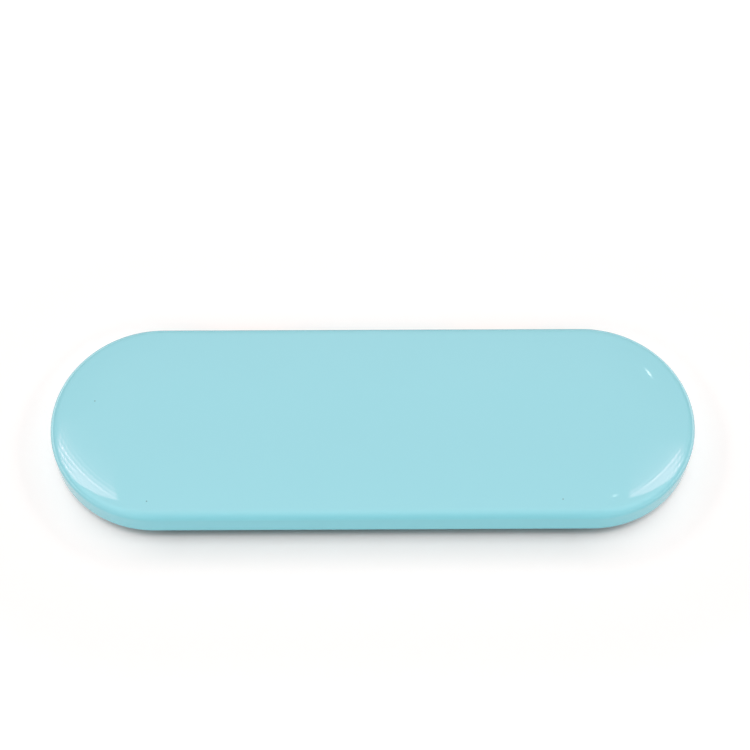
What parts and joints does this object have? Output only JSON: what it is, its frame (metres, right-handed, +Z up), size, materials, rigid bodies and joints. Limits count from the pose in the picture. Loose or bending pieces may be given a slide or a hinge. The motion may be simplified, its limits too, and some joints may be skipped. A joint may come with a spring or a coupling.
{
  "type": "tweezer case",
  "caption": "Pill-shaped hinged tin case in glossy enamel, with a domed lid, a recessed base and a slotted foam tray that holds tweezers.",
  "frame": {"origin": "middle of the flat underside", "axes": "+X along the case, -Y to the front where the lid lifts, +Z up through the lid; the hinge is at +Y"},
  "size_m": [0.18, 0.0625, 0.0131],
  "materials": {
    "aqua_enamel": "gloss",
    "nickel_plating": "satin",
    "steel_wire": "satin",
    "magnetic_rubber": "matte",
    "charcoal_foam": "matte",
    "charcoal_velour": "matte"
  },
  "bodies": {
    "base": {"base_shell": "aqua_enamel", "magnet_sheet": "magnetic_rubber", "tweezer_tray": "charcoal_foam", "base_magnet_left": "nickel_plating", "base_hinge_leaf_left": "nickel_plating", "hinge_pin_left": "steel_wire", "base_rivet_left_1": "nickel_plating", "base_rivet_left_2": "nickel_plating", "base_magnet_right": "nickel_plating", "base_hinge_leaf_right": "nickel_plating", "hinge_pin_right": "steel_wire", "base_rivet_right_1": "nickel_plating", "base_rivet_right_2": "nickel_plating"},
    "lid": {"lid_shell": "aqua_enamel", "lid_pad": "charcoal_velour", "lid_magnet_left": "nickel_plating", "lid_hinge_leaf_left": "nickel_plating", "lid_rivet_left_1": "nickel_plating", "lid_rivet_left_2": "nickel_plating", "lid_magnet_right": "nickel_plating", "lid_hinge_leaf_right": "nickel_plating", "lid_rivet_right_1": "nickel_plating", "lid_rivet_right_2": "nickel_plating"}
  },
  "joints": [
    {"name": "lid_hinge", "type": "hinge", "parent": "base", "child": "lid", "pos_m": [0, 0.0314, 0.0021], "axis": [-1, 0, 0], "range_deg": [0, 105]}
  ]
}
